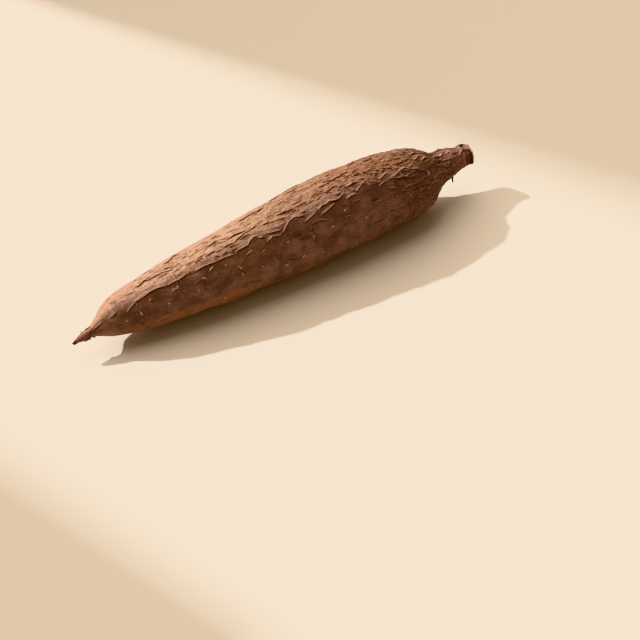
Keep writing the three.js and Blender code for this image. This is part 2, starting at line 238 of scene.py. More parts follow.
# The lights: name, which way the light comes from, how many degrees wide it looks, strength, and colour.
LIGHTS = [
    ("sun", SUN, 1.6, 3.8, (1.0, 0.97, 0.93)),
    ("sky", (-0.12, 0.56, 0.83), 74, 2.7, (1.0, 0.86, 0.71)),
]
ROOM_COLOUR = (1.0, 0.81, 0.61)
ROOM_STRENGTH = 0.27
FLOOR_COLOUR = (0.86, 0.80, 0.715)
WALL_COLOUR = (0.02, 0.018, 0.016)
WALL_WIDTH = 620.0


def curve_at(points, place):
    """A smooth curve through (place, value) points that never overshoots them, read at many places."""
    x, y = np.array(points).T
    slope = np.diff(y) / np.diff(x)
    before, after = slope[:-1], slope[1:]
    turning = before * after <= 0
    total = np.where(turning, 1.0, before + after)
    tangent = np.concatenate([slope[:1], np.where(turning, 0.0, 2 * before * after / total), slope[-1:]])
    i = np.clip(np.searchsorted(x, place, side="right") - 1, 0, len(x) - 2)
    span = x[i + 1] - x[i]
    t = np.clip((place - x[i]) / span, 0.0, 1.0)
    rise = span * (tangent[i] * (t**3 - 2 * t**2 + t) + tangent[i + 1] * (t**3 - t**2))
    return y[i] * (2 * t**3 - 3 * t**2 + 1) + y[i + 1] * (3 * t**2 - 2 * t**3) + rise


def radius_at(share):
    """The root's radius in mm, without relief, at a share of its length."""
    return WIDEST * curve_at(OUTLINE, share)


def smooth(low, high, value):
    """0 below low, 1 above high, and smooth between."""
    t = np.clip((value - low) / (high - low), 0.0, 1.0)
    return t * t * (3 - 2 * t)


def band(start, full, fade, end, value):
    """1 between full and fade, 0 outside start and end, and smooth between."""
    return smooth(start, full, value) * (1 - smooth(fade, end, value))


def hump(value, centre, width):
    """1 at the centre, and almost 0 from two widths off it."""
    return np.exp(-(((value - centre) / width) ** 2))


def wrap(angle):
    """The same angle between half a turn back and half a turn on."""
    return angle - TURN * np.round(angle / TURN)


def noise(along, around, cells, seed):
    """Smooth noise, about -1 to 1. along is in cells; around is in turns, with that many cells to a turn."""
    rows = int(np.max(along)) + 3
    turn = np.random.default_rng(seed).uniform(0, TURN, (rows, cells))
    x, y = np.broadcast_arrays(along, around * cells)
    x0, y0 = np.floor(x).astype(int), np.floor(y).astype(int)
    fx, fy = x - x0, y - y0

    def corner(dx, dy):
        """What one corner of its cell adds to each place."""
        direction = turn[x0 + dx, (y0 + dy) % cells]
        return np.cos(direction) * (fx - dx) + np.sin(direction) * (fy - dy)

    ease_x = fx**3 * (fx * (6 * fx - 15) + 10)
    ease_y = fy**3 * (fy * (6 * fy - 15) + 10)
    near = corner(0, 0) * (1 - ease_x) + corner(1, 0) * ease_x
    far = corner(0, 1) * (1 - ease_x) + corner(1, 1) * ease_x
    return 1.5 * (near * (1 - ease_y) + far * ease_y)


class Bark:
    """Fields over a fine grid of the root's surface: rows run along it, columns round it. Lengths in mm."""

    def __init__(self):
        self.share = self.row_shares()
        self.along = self.share * LENGTH
        self.radius = radius_at(self.share)
        self.step = TURN / AROUND
        self.s = self.share[:, None]
        self.a = (np.arange(AROUND) * self.step)[None, :]
        self.x = self.along[:, None]
        self.turn = self.a / TURN
        self.girth = self.radius[:, None]
        self.height, self.crack, self.edge = np.zeros((3, ALONG, AROUND))
        self.warp = 1.1 * self.grid_noise(21, 9, 1) + 0.45 * self.grid_noise(7, 26, 2)
        self.rough = self.roughness()
        self.front = self.frontness()
        self.calm = smooth(0.6, 1.0, self.front) * (1 - 0.62 * smooth(0.68, 0.8, self.s))
        self.dust_and_painted_sunlight = self.dustiness_and_painted_sunlight()
        self.mauve_and_painted_half_shade = self.mauveness_and_painted_half_shade()
        self.deep = self.deepness()
        self.painted_bounce_light = self.painted_bounce_glow()

    def row_shares(self):
        """Shares of the length at which rows lie, spaced evenly over the outline."""
        fine = np.linspace(0, 1, 8001)
        radius = radius_at(fine)
        run = np.concatenate([[0], np.cumsum(np.hypot(np.diff(fine) * LENGTH, np.diff(radius)))])
        return np.interp(np.linspace(0, run[-1], ALONG), run, fine)

    def grid_noise(self, cell, cells, seed):
        """Noise over the grid, with cells so many mm long and so many of them round the root."""
        return noise(self.x / cell, self.turn, cells, SEED + seed)

    def ring_noise(self, place, cells, seed):
        """Noise round the root at one place, which is given in cells along it."""
        return noise(np.full((1, 1), place), self.turn, cells, SEED + seed)

    def roughness(self):
        """How rough the bark is: full on the body, less on the neck and tail, none on the worn belly."""
        worn = band(BELLY_START - BELLY_FADE, BELLY_START, BELLY_END, BELLY_END + BELLY_FADE, self.s)
        off_centre = np.abs(wrap(self.a + math.pi / 2))
        self.worn = worn * (1 - smooth(BELLY_HALF, 2 * BELLY_HALF, off_centre))
        return smooth(0.03, 0.22, self.s) * (1 - 0.55 * smooth(0.88, 0.93, self.s)) * (1 - self.worn)

    def ragged_degrees(self, wander, cell, cells, seed):
        """Degrees round the root, changed a little from place to place so that borders aren't straight."""
        return np.degrees(self.a) + wander * self.grid_noise(cell, cells, seed)

    def frontness(self):
        """1 on the front of the root, which faces away from the light and where shade is painted into the
        colour, about a half on the thin tail's upper side, where half-shade is painted, and 0 elsewhere."""
        degrees = self.ragged_degrees(2, 16, 12, 21)
        half_lit = 0.55 * smooth(88, 106, degrees + 9 * self.grid_noise(5, 26, 37))
        half_lit = half_lit * (1 - smooth(0.1, 0.17, self.s))
        return np.maximum(smooth(114, 124, degrees), half_lit) * (1 - smooth(212, 240, degrees))

    def mauveness_and_painted_half_shade(self):
        """1 along the upper edge of the front, where the bark is a darker purplish brown: partly its own
        tone, partly painted half-shade, and 0 elsewhere.
        """
        return band(98, 116, 170, 210, self.ragged_degrees(7, 12, 14, 40))

    def dustiness_and_painted_sunlight(self):
        """1 on top of the thin half, where dry earth has stuck and the bark is palest, partly as painted
        sunlight, and 0 elsewhere.
        """
        top = band(8, 48, 103, 121, self.ragged_degrees(9, 22, 8, 26))
        return top * band(0.02, 0.08, 0.35, 0.8, self.s)

    def deepness(self):
        """1 on the back and the underside, where the bark is deep brown, and 0 elsewhere."""
        degrees = self.ragged_degrees(5, 18, 10, 38)
        return np.maximum(smooth(205, 238, degrees), 1 - smooth(2, 34, degrees))

    def painted_bounce_glow(self):
        """1 low on the front of the thin half, where an orange glow of bounced light is painted on, and 0
        elsewhere.
        """
        return band(165, 200, 225, 250, self.ragged_degrees(8, 14, 12, 39)) * (1 - smooth(0.3, 0.45, self.s))

    def mark(self, name, values, spot=...):
        """Raises the field of dark cracks and painted shade, or the field of edges and painted highlights,
        to at least these values, everywhere or at one part.
        """
        field = getattr(self, name)
        field[spot] = np.maximum(field[spot], values)

    def girth_at(self, place):
        """The radius without relief at one place along."""
        return float(np.interp(place, self.along, self.radius))

    def window(self, place, angle, half, reach):
        """The grid points within half mm along and reach mm across a spot, with their offsets from it."""
        first, last = np.searchsorted(self.along, (place - half, place + half))
        rows = np.arange(first, last)
        span = min(int(reach / max(self.girth_at(place), 1.5) / self.step) + 1, AROUND // 2 - 1)
        columns = np.arange(-span, span + 1) + int(round(angle / self.step))
        dx = self.along[rows][:, None] - place
        dy = (columns[None, :] * self.step - angle) * self.radius[rows][:, None]
        return np.ix_(rows, columns % AROUND), dx, dy

    def add_swellings(self):
        """Low swellings of the whole body, and the long low ridge along its front."""
        off = wrap(self.a - np.radians(curve_at(RIDGE_COURSE, self.s))) / math.radians(RIDGE_SPREAD)
        self.height += curve_at(RIDGE_HEIGHT, self.s) * np.exp(-0.5 * off * off)
        total = 0
        for high, lengthwise, around, phase in SWELLINGS:
            wave = high * np.sin(TURN * lengthwise * self.s + phase)
            total = total + wave * np.cos(around * self.a + phase)
        fade = smooth(0.04, 0.2, self.s) * (1 - 0.6 * smooth(0.88, 0.93, self.s)) * (1 - self.worn)
        self.height += total * fade

    def add_terraces(self):
        """The long wavy edges that stand in the solid too, with a sharper drop."""
        for start, end, degrees, wave, step in TERRACES:
            wander = wave * (np.sin(self.x / 9.5 + degrees) + 0.6 * np.sin(self.x / 5.3 + 2 * degrees))
            behind = wander - wrap(self.a - math.radians(degrees)) * self.girth
            present = band(start, start + 0.06, end - 0.06, end, self.s)
            sheet = np.exp(-np.maximum(behind, 0) / 7) * smooth(0, 0.9, behind)
            self.height += step * 0.4 * present * sheet * self.rough

    def add_sheets(self):
        """Thin sheets of cork that overlap like shingles, with long wavy edges, and gentle unevenness."""
        turn = self.turn + self.warp / (TURN * self.girth + 20)
        wander = 0
        for wave, cell, cells, seed in [(0.9, 42, 6, 3), (0.5, 15, 15, 4), (0.2, 5, 34, 5)]:
            wander = wander + wave * noise(self.x / cell, turn, cells, SEED + seed)
        behind = (turn * SHEETS_ROUND + wander) % 1.0
        width = TURN * self.girth / SHEETS_ROUND
        present = smooth(-0.05, 0.3, self.grid_noise(24, 12, 17)) * (1 - 0.8 * self.calm)
        near, under = (1 - behind) * width, behind * width
        sheet = np.exp(-near / 3.0) * smooth(0, 0.3, near)
        lip, dip = hump(near, 0.4, 0.35), hump(under, 0.3, 0.35)
        strength = present * self.rough
        self.height += strength * (0.26 * sheet + 0.1 * lip - 0.12 * dip)
        # Painted highlight on each sheet's lip and painted shade in the dip below it.
        self.mark("edge", 0.6 * lip * strength)
        self.mark("crack", 0.3 * dip * strength)
        uneven = self.grid_noise(13, 22, 18) + 0.5 * self.grid_noise(6, 44, 19)
        self.height += 0.2 * uneven * self.rough * (1 - 0.3 * self.calm)

    def add_sheet_edge(self, rise, path):
        """One edge of a bark sheet: full height at the edge, sinking back behind it, with a curled lip."""
        places, degrees = np.array(path, float).T
        first, last = places[0], places[-1]
        rows = np.flatnonzero((self.along > first - 1) & (self.along < last + 1))
        centre = np.radians(np.interp(self.x[rows], places, degrees))
        wander = 0.1 * noise(self.x[rows] / 1.7, self.turn, 3, SEED + 6)[:, :1]
        across = wrap(centre - self.a) * self.girth[rows] + wander
        ends = band(first - 1, first + 2, last - 2, last + 1, self.x[rows])
        sheet = np.exp(-np.maximum(across, 0) / 5.0) * smooth(-0.1, 0.35, across)
        lip, dip = hump(across, 0.45, 0.45), hump(across, -0.5, 0.5)
        self.height[rows] += ends * (0.45 * rise * sheet + 0.22 * lip - 0.2 * dip)
        # Painted highlight along the curled lip and painted shadow in the dip below it.
        self.mark("edge", ends * lip, rows)
        self.mark("crack", 0.6 * ends * dip, rows)

    def add_split(self, place, angle, half, width, depth, slant, bend):
        """One lens-shaped split along the grain, with a raised lip beside it."""
        spot, dx, dy = self.window(place, angle, half, 4 * width + abs(slant) * half + abs(bend) + 0.6)
        if dx.size == 0:
            return
        t = dx / half
        wave = self.warp[spot] - self.warp[spot][len(dx) // 2, 0]
        ragged = 0.18 * width * (np.sin(9 * t + 3 * place) + np.sin(17 * t + place))
        across = dy - slant * dx - bend * np.sin(math.pi * t) + 0.6 * np.clip(wave, -0.5, 0.5) + ragged
        near = np.abs(across) / (width * np.maximum(1 - t * t, 1e-3) ** 0.6)
        taper = np.sqrt(np.maximum(1 - t * t, 0))
        groove = np.maximum(1 - near * near, 0)
        lip = hump(near, 1.7, 0.6) * taper
        self.height[spot] += -depth * groove * taper + 0.16 * depth * lip * np.where(across > 0, 2.0, 0.5)
        # Painted shade in the groove, and a painted highlight on the lip, strongest on the lower side, which
        # faces the sun.
        self.mark("crack", min(1.0, depth / 0.45) * smooth(0.1, 0.55, groove) * taper**0.5, spot)
        self.mark("edge", lip * np.where(across > 0, 0.75, 0.15), spot)

    def add_split_between(self, first, first_degrees, last, last_degrees, width):
        """A split from one place to another."""
        place, half = (first + last) / 2, (last - first) / 2
        slant = math.radians(last_degrees - first_degrees) * self.girth_at(place) / (2 * half)
        angle = math.radians((first_degrees + last_degrees) / 2)
        self.add_split(place, angle, half, 0.95 * width, 0.9 + width, slant, 0.25 * math.sin(7 * place))

    def splits_allowed(self, place, angle):
        """How likely a seeded split is at a place: none on the tail, few on the smooth front."""
        row = min(int(np.searchsorted(self.along, place)), ALONG - 1)
        calm = self.calm[row, int(angle / self.step) % AROUND]
        return band(0.05, 0.2, 0.9, 0.95, place / LENGTH) * (1 - 0.9 * calm)

    def add_splits(self):
        """Rows of splits that follow each other along the grain, closer together towards the stalk."""
        draw = np.random.default_rng(SEED + 7)
        for _ in range(SPLIT_ROWS):
            start = LENGTH * (0.1 + 0.83 * draw.beta(1.6, 1.0))
            angle = draw.uniform(0, TURN)
            run = draw.uniform(6, 46)
            place = start - run / 2
            while place < start + run / 2:
                crowd = 0.6 + 0.4 * smooth(0.45, 0.8, place / LENGTH)
                half = draw.uniform(1.6, 5.6) * (1.2 - 0.35 * crowd)
                width = draw.uniform(0.16, 0.36) * (0.4 + 0.7 * crowd)
                side = draw.normal(0, 1.0) / max(self.girth_at(place), 3.0)
                if self.splits_allowed(place, angle) > draw.uniform(0, 1):
                    slant, bend = draw.normal(0, 0.07), draw.normal(0, 0.3)
                    self.add_split(place, angle + side, half, width, 0.45 + 1.2 * width, slant, bend)
                place += 2 * half + draw.uniform(0.5, 8)
        for _ in range(FRONT_SPLITS):
            place, angle = draw.uniform(26, 250), math.radians(draw.uniform(127, 218))
            half, width = draw.uniform(1.2, 4.0), draw.uniform(0.13, 0.2)
            self.add_split(place, angle, half, width, draw.uniform(0.15, 0.32), draw.normal(0, 0.7), 0.3)

    def add_pits(self):
        """Short shallow nicks between the splits."""
        draw = np.random.default_rng(SEED + 8)
        for _ in range(PITS):
            place, angle = LENGTH * draw.uniform(0.05, 0.97), draw.uniform(0, TURN)
            half, width = draw.uniform(0.5, 2.2), draw.uniform(0.13, 0.24)
            depth = draw.uniform(0.08, 0.3)
            if 0.3 + self.splits_allowed(place, angle) > draw.uniform(0, 1):
                self.add_split(place, angle, half, width, depth, draw.normal(0, 0.15), 0.0)

    def add_hairlines(self):
        """Long fine lines along the grain."""
        draw = np.random.default_rng(SEED + 36)
        for _ in range(HAIRLINES):
            place, angle = LENGTH * draw.uniform(0.06, 0.93), draw.uniform(0, TURN)
            if 0.1 + self.splits_allowed(place, angle) > draw.uniform(0, 1):
                half, width = draw.uniform(3, 13), draw.uniform(0.1, 0.2)
                depth, slant = draw.uniform(0.12, 0.34), draw.normal(0, 0.05)
                self.add_split(place, angle, half, width, depth, slant, 0.4)

    def add_scale(self, place, angle, half, rise, slant, curl):
        """One small curled edge of bark: a raised lip with a hollow below it."""
        spot, dx, dy = self.window(place, angle, half, 1.8 + abs(slant) * half + abs(curl))
        if dx.size == 0:
            return
        t = dx / half
        behind = slant * dx + curl * (1 - t * t) + 0.12 * np.sin(5 * t + place) - dy
        ends = np.sqrt(np.maximum(1 - t * t, 0))
        sheet = np.exp(-np.maximum(behind, 0) / 1.3) * smooth(-0.2, 0.25, behind)
        lip, dip = hump(behind, 0.3, 0.32), hump(behind, -0.4, 0.36)
        self.height[spot] += ends * rise * (sheet + 0.45 * lip - 0.6 * dip)
        # Painted highlight on the lip and painted shade in the hollow below it.
        self.mark("edge", 0.85 * ends * lip, spot)
        self.mark("crack", 0.75 * ends * dip, spot)

    def add_scales(self):
        """Small curled edges, most of them at the shoulder and on the neck."""
        draw = np.random.default_rng(SEED + 41)
        for _ in range(SCALES):
            share, angle = draw.beta(5.2, 1.9), draw.uniform(0, TURN)
            place = LENGTH * (0.12 + 0.85 * share)
            half, rise = draw.uniform(0.8, 3.2), draw.uniform(0.16, 0.42)
            slant, curl = draw.normal(0, 0.3), draw.normal(0, 0.4)
            if 0.15 + self.splits_allowed(min(place, SCALES_STEADY), angle) > draw.uniform(0, 1):
                self.add_scale(place, angle, half, rise, slant, curl)

    def wrinkle_course(self, place):
        """How far a wrinkle across the root wanders along it, in mm at each column."""
        return 0.9 * self.ring_noise(place / 7, 14, 9) + 0.35 * self.ring_noise(place / 3, 60, 10)

    def add_wrinkle(self, place, first, last, rise):
        """A thin furrow across the root, broken in places, beside the welt that make_slivers lays there."""
        middle, half = math.radians((first + last) / 2), math.radians((last - first) / 2)
        off = np.abs(wrap(self.a - middle))
        columns = off[0] < half
        across = (self.x - place - self.wrinkle_course(place))[:, columns]
        ends = 1 - smooth(half * 0.75, half, off[:, columns])
        broken = smooth(-0.35, 0.1, self.ring_noise(place / 5, 40, 11))[:, columns]
        dip = hump(across, 0.75, 0.45) * ends * broken
        self.height[:, columns] -= 0.8 * rise * dip
        # Painted shade in the furrow.
        self.mark("crack", 0.5 * dip, np.s_[:, columns])

    def add_grain(self):
        """Fine fibres along the root and a crumbly roughness, strongest at the shoulder."""
        fibres = self.grid_noise(9, 150, 12) + 0.6 * self.grid_noise(4, 220, 13)
        crumbs = self.grid_noise(1.6, 110, 14)
        quiet = 1 - 0.7 * self.calm
        self.height += 0.09 * fibres * (0.4 + 0.6 * self.rough) * quiet + 0.11 * crumbs * self.rough * quiet
        shoulder = band(0.66, 0.84, 0.905, 0.94, self.s)
        lumps = np.abs(self.grid_noise(4.4, 34, 15) + 0.6 * self.grid_noise(2.3, 70, 16))
        self.height += shoulder * (0.5 * lumps - 0.15)
        # Painted shade in the creases between the shoulder's lumps.
        self.mark("crack", shoulder * 0.35 * smooth(0.12, 0.02, lumps))
        neck = band(0.87, 0.91, 0.965, 0.98, self.s)
        folds = self.grid_noise(12, 20, 27) + 0.6 * self.grid_noise(5, 44, 28)
        self.height += neck * 0.3 * folds
        # Painted shade in the low folds of the neck and painted highlight on the high ones.
        self.mark("crack", neck * 0.45 * smooth(-0.25, -0.6, folds))
        self.mark("edge", neck * 0.5 * smooth(0.3, 0.7, folds))
        for place, degrees, half, width, rise in NECK_LUMPS:
            spot, dx, dy = self.window(place, math.radians(degrees), 2.4 * half, 2.4 * width)
            self.height[spot] += rise * np.exp(-((dx / half) ** 2) - (dy / width) ** 2)

    def add_tail(self):
        """The tail's dark tip, its knots and its fine lengthwise wrinkles."""
        tail = 1 - smooth(0.05, 0.12, self.s)
        self.height += 0.12 * tail * self.grid_noise(7, 9, 22)
        self.mark("crack", 0.75 * (1 - smooth(0.6, 3.2, self.x)))
        for place, degrees, half, rise in TAIL_KNOTS:
            spot, dx, dy = self.window(place, math.radians(degrees), 3 * half, 3 * half)
            knot = np.exp(-(dx * dx + dy * dy) / (half * half))
            self.height[spot] += rise * knot
            self.mark("crack", 0.7 * knot, spot)
        self.height += (1 - smooth(0.0, 3.0, self.x)) * (0.4 + 0.5 * np.cos(self.a - math.radians(220)))

    def add_collar(self):
        """The stalk's end: bark torn off round a woody core, which is a little thinner and ribbed."""
        ripple = np.sin(5 * self.a + 1.3) + 0.7 * np.sin(9 * self.a + 0.4)
        self.height += smooth(0.966, 0.985, self.s) * (0.3 + 0.3 * ripple)
        torn = TORN + 1.3 * self.ring_noise(0.5, 9, 23) + 0.5 * self.ring_noise(0.5, 30, 24)
        bare = smooth(0.0, 0.5, self.x - torn)
        self.height += bare * (-0.7 + 0.22 * self.grid_noise(12, 40, 25))
        # Painted shade darkens the bare core, and the torn edge is paler: pale torn bark with a painted
        # highlight.
        self.mark("crack", 0.42 * bare)
        self.mark("edge", 0.9 * hump(self.x - torn, -0.4, 0.5))

    def relief(self, along, angle):
        """The height of the bark at any places."""
        row = np.clip(np.interp(along, self.along, np.arange(ALONG)), 0, ALONG - 1.001)
        column = (angle / self.step) % AROUND
        r, c = np.floor(row).astype(int), np.floor(column).astype(int) % AROUND
        after = (c + 1) % AROUND
        down, right = row - np.floor(row), column - np.floor(column)
        near = self.height[r, c] * (1 - right) + self.height[r, after] * right
        far = self.height[r + 1, c] * (1 - right) + self.height[r + 1, after] * right
        return near * (1 - down) + far * down

    def tone(self, along, angle):
        """What small pieces at a place take over from the bark's colour there."""
        row = np.clip(np.searchsorted(self.along, along), 0, ALONG - 1)
        column = (np.asarray(angle) / self.step).astype(int) % AROUND
        return {name: getattr(self, name)[row, column] for name in TONES}

    def place(self, along, angle, lift):
        """Places in metres, lift mm above the bark."""
        share = along / LENGTH
        radius = radius_at(share) + self.relief(along, angle) + lift
        return surface_point(share, angle, radius)

    def grow(self, edges):
        """Puts all of the relief on, from the broadest to the finest."""
        self.add_swellings()
        self.add_terraces()
        self.add_sheets()
        for rise, path in edges:
            self.add_sheet_edge(rise, path)
        for split in SPLITS:
            self.add_split_between(*split)
        self.add_splits()
        self.add_pits()
        self.add_hairlines()
        self.add_scales()
        for wrinkle in WRINKLES:
            self.add_wrinkle(*wrinkle)
        self.add_grain()
        self.add_tail()
        self.add_collar()


def surface_point(share, angle, radius):
    """The place in the root's frame, in metres, of points at a share, an angle and a radius in mm."""
    centre_height = WIDEST * curve_at(HEIGHT, share) - FLAT_DEPTH
    x = tail_end + TIP + share * LENGTH
    y = SIDE_SHIFT + curve_at(BOW, share) + radius * np.cos(angle)
    z = np.maximum(0.0, centre_height + radius * np.sin(angle))
    return np.stack(np.broadcast_arrays(x, y, z), -1) * MM


def corners(*numbers):
    """Faces from arrays of the numbers of their first corners, second corners and so on."""
    return np.stack(np.broadcast_arrays(*numbers), -1).reshape(-1, len(numbers))


def split_quads(a, b, c, d):
    """Two triangles for each quad."""
    return np.concatenate([corners(a, b, c), corners(a, c, d)])


def mesh_object(name, points, faces, material):
    """A smooth-shaded mesh object from points and faces of one size."""
    mesh = bpy.data.meshes.new(name)
    faces = np.asarray(faces, np.int32)
    mesh.vertices.add(len(points))
    mesh.vertices.foreach_set("co", np.asarray(points, np.float32).ravel())
    mesh.loops.add(faces.size)
    mesh.loops.foreach_set("vertex_index", faces.ravel())
    mesh.polygons.add(len(faces))
    mesh.polygons.foreach_set("loop_start", np.arange(0, faces.size, faces.shape[1], dtype=np.int32))
    mesh.update(calc_edges=True)
    mesh.validate()
    mesh.polygons.foreach_set("use_smooth", np.ones(len(faces), bool))
    mesh.materials.append(material)
    obj = bpy.data.objects.new(name, mesh)
    bpy.context.scene.collection.objects.link(obj)
    return obj


def set_field(obj, name, values):
    """Keeps a number for each vertex on the mesh, for its material to read."""
    attribute = obj.data.attributes.new(name, "FLOAT", "POINT")
    attribute.data.foreach_set("value", np.asarray(values, np.float32).ravel())


def make_body(bark, material):
    """The root's skin: the fine grid wrapped round the root, closed at both ends and thinned where flat."""
    points = surface_point(bark.s, bark.a, bark.girth + bark.height).reshape(-1, 3)
    tail = surface_point(0.0, 0.0, 0.0) + np.array([-TIP, 0, 0]) * MM
    stalk = surface_point(1.0, 0.0, 0.0) + np.array([-CUT_SUNK, 0, 0]) * MM
    row, column = np.meshgrid(np.arange(ALONG - 1), np.arange(AROUND), indexing="ij")
    after = (column + 1) % AROUND
    start, end = row * AROUND, (row + 1) * AROUND
    skin = split_quads(start + column, start + after, end + after, end + column)
    ring = np.arange(AROUND)
    following = (ring + 1) % AROUND
    last = (ALONG - 1) * AROUND
    count = ALONG * AROUND
    caps = [corners(count, following, ring), corners(count + 1, last + ring, last + following)]
    faces = np.concatenate([skin, *caps])
    body = mesh_object("root_bark", np.concatenate([points, tail[None], stalk[None]]), faces, material)
    for name in ("crack", "edge", "calm", *TONES, "painted_bounce_light"):
        set_field(body, name, np.append(getattr(bark, name).ravel(), [0.0, 0.0]))
    set_field(body, "share", np.append(np.repeat(bark.share, AROUND), [0.0, 1.0]))
    thin = body.modifiers.new("thin", "DECIMATE")
    thin.ratio = BODY_FACES / len(body.data.polygons)
    apply_modifiers(body)
    return body


def apply_modifiers(obj):
    """Makes the modifiers' result the object's own mesh."""
    view = bpy.context.evaluated_depsgraph_get()
    result = obj.evaluated_get(view)
    mesh = bpy.data.meshes.new_from_object(result, preserve_all_data_layers=True, depsgraph=view)
    old = obj.data
    obj.modifiers.clear()
    obj.data = mesh
    mesh.name = obj.name
    bpy.data.meshes.remove(old)


class Pieces:
    """Many small closed meshes that are gathered into one object."""

    def __init__(self):
        self.points = []
        self.triangles = []
        self.fields = {name: [] for name in ("crack", "pale", "edge", *TONES, "share")}
        self.count = 0

    def add(self, points, triangles, **fields):
        """Adds one closed mesh. Fields that aren't given are 0."""
        self.points.append(points)
        self.triangles.append(triangles + self.count)
        for name, values in self.fields.items():
            values.append(np.broadcast_to(fields.get(name, 0.0), len(points)))
        self.count += len(points)

    def add_shell(self, sheet, thick, **fields):
        """A closed sheet thick mm thick over a grid of points: rows round the root, columns along it."""
        rows, columns = sheet.shape[:2]
        normal = np.cross(np.gradient(sheet, axis=0), np.gradient(sheet, axis=1))
        normal /= np.maximum(np.linalg.norm(normal, axis=2, keepdims=True), 1e-12)
        points = np.concatenate([(sheet + normal * (thick * MM)).reshape(-1, 3), sheet.reshape(-1, 3)])
        index = np.arange(rows * columns).reshape(rows, columns)
        upper = split_quads(index[:-1, :-1], index[1:, :-1], index[1:, 1:], index[:-1, 1:])
        rim = np.concatenate([index[:-1, 0], index[-1, :-1], index[:0:-1, -1], index[0, :0:-1]])
        after = np.roll(rim, -1)
        under = rows * columns
        side = split_quads(after, rim, rim + under, after + under)
        doubled = {}
        for name, values in fields.items():
            doubled[name] = np.tile(np.broadcast_to(values, (rows, columns)).ravel(), 2)
        self.add(points, np.concatenate([upper, upper[:, ::-1] + under, side]), **doubled)

    def add_rings(self, rings, **fields):
        """A closed mesh through rings of points, with a fan over each end."""
        count, sides = rings.shape[:2]
        ends = [rings[0].mean(axis=0), rings[-1].mean(axis=0)]
        index = np.arange(count * sides).reshape(count, sides)
        following = np.roll(index, -1, axis=1)
        wall = split_quads(index[:-1], following[:-1], following[1:], index[1:])
        start = count * sides
        caps = [corners(start, following[0], index[0]), corners(start + 1, index[-1], following[-1])]
        spread = {}
        for name, values in fields.items():
            values = np.broadcast_to(values, (count, sides))
            spread[name] = np.append(values.ravel(), [values[0].mean(), values[-1].mean()])
        self.add(np.concatenate([rings.reshape(-1, 3), ends]), np.concatenate([wall, *caps]), **spread)

    def add_stem(self, path, radii, sides, **fields):
        """A closed tapering stem along a path of points in metres, with radii in mm."""
        tangent = np.gradient(path, axis=0)
        tangent /= np.linalg.norm(tangent, axis=1, keepdims=True)
        side = np.cross(tangent, (0.31, 0.57, 0.76))
        side /= np.linalg.norm(side, axis=1, keepdims=True)
        other = np.cross(tangent, side)
        turn = (np.arange(sides) * TURN / sides)[None, :, None]
        radii = np.broadcast_to(radii, (len(path), sides)) * MM
        ring = side[:, None] * np.cos(turn) + other[:, None] * np.sin(turn)
        self.add_rings(path[:, None] + ring * radii[..., None], **fields)

    def build(self, name, material):
        """Makes the object, riding on the root."""
        obj = mesh_object(name, np.concatenate(self.points), np.concatenate(self.triangles), material)
        for field, values in self.fields.items():
            set_field(obj, field, np.concatenate(values))
        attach(obj, "root")


def scattered_edges():
    """Seeded edges of bark sheets, in the same form as SHEET_EDGES, where the photograph shows none."""
    draw = np.random.default_rng(SEED + 30)
    edges = []
    for _ in range(EDGES_TRIED):
        run = draw.uniform(5, 24)
        start = draw.uniform(22, 292 - run)
        degrees = draw.uniform(0, 360)
        calm_front = 112 < degrees < 225 and start < 230
        belly = 240 < degrees < 300 and 90 < start < 240
        if calm_front or belly:
            continue
        count = int(run / 3.5) + 2
        wander = np.cumsum(draw.normal(0, 1.0, count))
        wander = wander - np.linspace(0, wander[-1], count)
        places = np.linspace(start, start + run, count)
        girth = radius_at((start + run / 2) / LENGTH)
        slope = draw.normal(0, 0.1) * (places - start)
        angles = degrees + np.degrees((wander + slope) / girth)
        edges.append((draw.uniform(0.2, 0.42), list(zip(places, angles))))
    return edges


def make_lips(bark, edges, material):
    """The lifted edges of bark sheets: thin sheets whose free edge overhangs the step in the bark."""
    draw = np.random.default_rng(SEED + 31)
    pieces = Pieces()
    across = np.array([0.0, 0.35, 0.6, 0.8, 0.93, 1.0])[:, None]
    for rise, path in edges:
        places, degrees = np.array(path, float).T
        count = int((places[-1] - places[0]) / 0.5) + 4
        along = np.linspace(places[0], places[-1], count)
        girth = radius_at(along / LENGTH)
        ends = np.sin(math.pi * np.linspace(0.02, 0.98, count)) ** 0.4
        knots = np.arange(0, count + 4, 2)
        ragged = np.interp(np.arange(count), knots, draw.normal(0, 0.05, len(knots)))
        lifted = np.interp(along, places, draw.uniform(0.25, 1.0, len(places)))
        edge = np.radians(np.interp(along, places, degrees)) + (0.05 + ragged) / girth
        reach = (0.5 + 2.0 * rise) * ends + 0.25
        angle = edge - (1 - across) * reach / girth
        flush = bark.relief(along, angle[0]) * (1 - across)
        flush = flush + bark.relief(along, edge - 0.55 / girth) * across
        lift = 0.55 * rise * lifted * ends * across**3 - 0.2 * (1 - across) - 0.12 * (1 - ends)
        sheet = surface_point(along / LENGTH, angle, girth + flush + lift)
        # Painted highlight on the free edge of each lip, which also takes less of the front's painted shade.
        light = smooth(0.6, 0.95, across) * (0.7 + 0.5 * lifted)
        tone = bark.tone(along, edge)
        tone["front"] = 0.6 * tone["front"]
        pieces.add_shell(sheet, 0.2, edge=light, share=along / LENGTH, **tone)
    pieces.build("sheet_edges", material)


